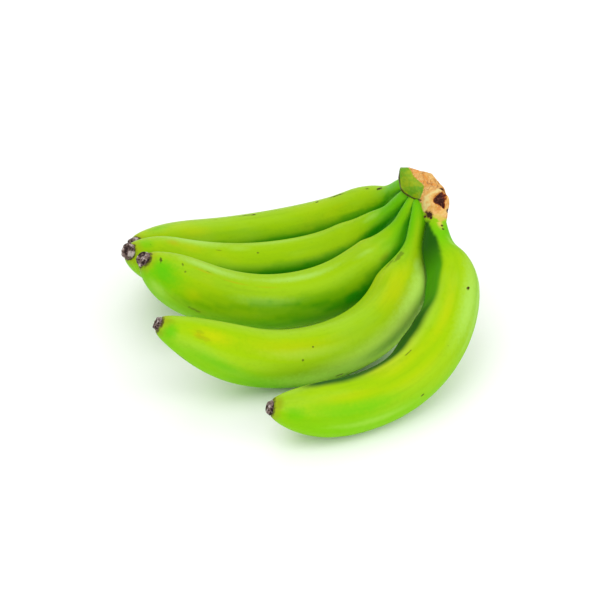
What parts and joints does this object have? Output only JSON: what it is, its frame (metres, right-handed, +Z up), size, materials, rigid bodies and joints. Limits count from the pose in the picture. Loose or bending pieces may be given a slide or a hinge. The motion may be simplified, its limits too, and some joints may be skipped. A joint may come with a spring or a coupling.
{
  "type": "plantain hand",
  "caption": "Hand of green plantains joined at one cut crown, lying on their curved bellies with dried blossom ends.",
  "frame": {"origin": "on the surface that the bunch lies on, under the middle of its bounding box", "axes": "+Z up, +X towards the crown, -X towards the blossom ends"},
  "size_m": [0.2532, 0.2666, 0.11],
  "materials": {
    "skin": "waxy green fruit skin",
    "crown": "dry cut plant fibre, green at one side",
    "blossom_end": "dry and crumbly"
  },
  "bodies": {
    "root": {"crown": "crown", "finger_1": "skin", "finger_2": "skin", "finger_3": "skin", "finger_4": "skin", "finger_5": "skin", "tip_1": "blossom_end", "tip_2": "blossom_end", "tip_3": "blossom_end", "tip_4": "blossom_end", "tip_5": "blossom_end"}
  },
  "joints": []
}
